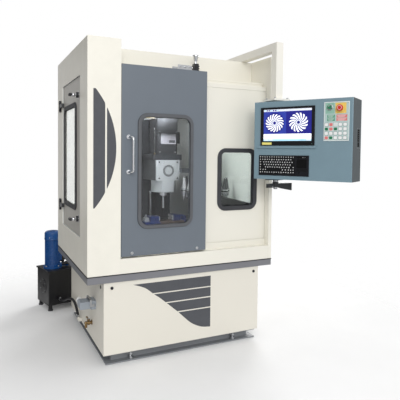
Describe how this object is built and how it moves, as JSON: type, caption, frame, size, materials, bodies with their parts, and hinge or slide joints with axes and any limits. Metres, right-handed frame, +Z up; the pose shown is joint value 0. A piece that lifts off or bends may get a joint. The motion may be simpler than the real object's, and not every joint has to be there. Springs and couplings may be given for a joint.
{
  "type": "cnc training mill",
  "caption": "Enclosed bench-scale vertical milling machine on a cabinet base, with a sliding front door, side service door, swivelling control pendant and coolant tank.",
  "frame": {"origin": "on the floor under the middle of the plinth and of the enclosure's plan", "axes": "+Z up, the sliding door faces -Y, +X to the operator's right towards the pendant"},
  "size_m": [1.6012, 2.0515, 1.928],
  "materials": {
    "cream_paint": "fine textured cream powder coat",
    "grey_paint": "blue-grey powder coat",
    "band_paint": "mid grey enamel",
    "plinth_paint": "dark grey enamel",
    "pendant_paint": "fine textured blue-grey powder coat",
    "arm_paint": "cream powder coat",
    "black_rubber": "matt black profile rubber",
    "smoked_glass": "lightly smoked clear sheet",
    "clear_glass": "clear sheet with a pale green cast",
    "bright_chrome": "polished chrome",
    "zinc_steel": "bright zinc plate",
    "black_steel": "black oxide",
    "ground_steel": "ground steel",
    "machine_iron": "painted casting",
    "head_aluminium": "silver painted housing",
    "motor_black": "black enamel",
    "vice_blue": "blue enamel",
    "pump_blue": "gloss blue enamel",
    "tank_black": "satin black enamel",
    "brass": "plain brass",
    "connector_grey": "grey die-cast",
    "black_plastic": "moulded black",
    "drive_grey": "moulded grey",
    "panel_white": "printed membrane plate",
    "knob_green": "moulded green",
    "button_red": "moulded red"
  },
  "bodies": {
    "machine_frame": {"atc_bracket": "machine_iron", "axis_motors": "motor_black", "base_cabinet": "cream_paint", "base_front_panel": "cream_paint", "base_panel_screws": "black_steel", "column": "machine_iron", "coolant_tank": "tank_black", "door_track": "zinc_steel", "drain_valve_body": "brass", "drive_modules": "drive_grey", "fixed_gasket": "black_rubber", "fixed_glass": "clear_glass", "fixed_panel": "cream_paint", "front_sill": "cream_paint", "interlock_switch": "black_plastic", "left_wall": "cream_paint", "leveling_bolts": "zinc_steel", "machine_bed": "machine_iron", "pendant_arm": "arm_paint", "plinth_frame": "plinth_paint", "power_connector": "connector_grey", "pump_motor": "pump_blue", "rear_wall": "cream_paint", "return_hose": "black_rubber", "right_wall": "cream_paint", "roof_header": "cream_paint", "service_hinges": "zinc_steel", "support_tray": "band_paint"},
    "sliding_door": {"door_panel": "grey_paint", "door_gasket": "black_rubber", "door_glass": "smoked_glass", "door_handle": "bright_chrome", "door_hangers": "zinc_steel"},
    "service_door": {"service_door": "cream_paint", "service_gasket": "black_rubber", "service_glass": "clear_glass"},
    "upper_latch": {"upper_latch": "black_plastic"},
    "lower_latch": {"lower_latch": "black_plastic"},
    "connector_lever": {"connector_lever": "zinc_steel"},
    "drain_lever": {"drain_lever": "brass"},
    "saddle": {"saddle": "machine_iron"},
    "table": {"table": "ground_steel", "vice_body": "vice_blue"},
    "vice_jaw": {"vice_jaw": "vice_blue"},
    "vice_screw": {"vice_screw": "ground_steel"},
    "x_screw": {"x_screw": "ground_steel"},
    "y_screw": {"y_screw": "ground_steel"},
    "z_screw": {"z_screw": "ground_steel"},
    "head": {"spindle_head": "head_aluminium", "spindle_motor": "motor_black"},
    "spindle": {"spindle": "ground_steel"},
    "carousel": {"carousel": "black_steel"},
    "pendant": {"pendant_housing": "pendant_paint", "pendant_cover": "pendant_paint", "monitor": "black_plastic", "keyboard": "black_plastic", "keypad_plate": "panel_white"},
    "selector_knob": {"selector_knob": "knob_green"},
    "estop_button": {"estop_button": "button_red"},
    "clamp_lever": {"clamp_lever": "black_plastic"}
  },
  "joints": [
    {"name": "door_slide", "type": "slide", "parent": "machine_frame", "child": "sliding_door", "axis": [1, 0, 0], "range_m": [0, 0.44]},
    {"name": "service_door_swing", "type": "hinge", "parent": "machine_frame", "child": "service_door", "pos_m": [-0.6265, 0.352, 1.206], "axis": [0, 0, -1], "range_deg": [0, 110]},
    {"name": "upper_latch_turn", "type": "hinge", "parent": "service_door", "child": "upper_latch", "pos_m": [-0.6095, -0.223, 1.58], "axis": [-1, 0, 0], "range_deg": [0, 90]},
    {"name": "lower_latch_turn", "type": "hinge", "parent": "service_door", "child": "lower_latch", "pos_m": [-0.6095, -0.223, 0.825], "axis": [1, 0, 0], "range_deg": [0, 90]},
    {"name": "connector_lever_swing", "type": "hinge", "parent": "machine_frame", "child": "connector_lever", "pos_m": [-0.5395, -0.268, 0.306], "axis": [0, 1, 0], "range_deg": [0, 35]},
    {"name": "drain_lever_turn", "type": "hinge", "parent": "machine_frame", "child": "drain_lever", "pos_m": [-0.5435, -0.205, 0.182], "axis": [0, 0, 1], "range_deg": [0, 90]},
    {"name": "y_slide", "type": "slide", "parent": "machine_frame", "child": "saddle", "axis": [0, 1, 0], "range_m": [-0.07, 0.07]},
    {"name": "x_slide", "type": "slide", "parent": "saddle", "child": "table", "axis": [1, 0, 0], "range_m": [-0.115, 0.115]},
    {"name": "vice_jaw_slide", "type": "slide", "parent": "table", "child": "vice_jaw", "axis": [1, 0, 0], "range_m": [-0.088, 0.02]},
    {"name": "vice_screw_turn", "type": "hinge", "parent": "vice_jaw", "child": "vice_screw", "pos_m": [0.1225, -0.083, 0.781], "axis": [1, 0, 0], "range_deg": [-6400, 1500]},
    {"name": "x_screw_turn", "type": "hinge", "parent": "saddle", "child": "x_screw", "pos_m": [0, -0.083, 0.686], "axis": [1, 0, 0], "range_deg": [-4200, 4200]},
    {"name": "y_screw_turn", "type": "hinge", "parent": "machine_frame", "child": "y_screw", "pos_m": [0, -0.083, 0.628], "axis": [0, 1, 0], "range_deg": [-2600, 2600]},
    {"name": "z_slide", "type": "slide", "parent": "machine_frame", "child": "head", "axis": [0, 0, 1], "range_m": [-0.04, 0.18]},
    {"name": "z_screw_turn", "type": "hinge", "parent": "machine_frame", "child": "z_screw", "pos_m": [0, 0.184, 1.1], "axis": [0, 0, 1], "range_deg": [-1500, 6600]},
    {"name": "spindle_spin", "type": "hinge", "parent": "head", "child": "spindle", "pos_m": [0, -0.083, 1], "axis": [0, 0, 1], "continuous": true},
    {"name": "carousel_spin", "type": "hinge", "parent": "machine_frame", "child": "carousel", "pos_m": [0.3755, 0.012, 1], "axis": [0, 0, 1], "continuous": true},
    {"name": "pendant_swivel", "type": "hinge", "parent": "machine_frame", "child": "pendant", "pos_m": [0.5325, -0.667, 1.56], "axis": [0, 0, 1], "range_deg": [-30, 75]},
    {"name": "selector_turn", "type": "hinge", "parent": "pendant", "child": "selector_knob", "pos_m": [0.64546, -1.028, 1.502], "axis": [-0.8594, -0.5113, 0], "range_deg": [-45, 45]},
    {"name": "estop_push", "type": "slide", "parent": "pendant", "child": "estop_button", "axis": [0.8594, 0.5113, 0], "range_m": [0, 0.005], "stiffness_N_per_m": 600},
    {"name": "clamp_lever_turn", "type": "hinge", "parent": "pendant", "child": "clamp_lever", "pos_m": [0.5325, -0.667, 1.042], "axis": [0, 0, 1], "range_deg": [-40, 40]}
  ],
  "couplings": [
    {"joint": "x_screw_turn", "follows": "x_slide", "rad_per_m": 628.32},
    {"joint": "y_screw_turn", "follows": "y_slide", "rad_per_m": 628.32},
    {"joint": "z_screw_turn", "follows": "z_slide", "rad_per_m": 628.32},
    {"joint": "vice_screw_turn", "follows": "vice_jaw_slide", "rad_per_m": 1256.6}
  ]
}
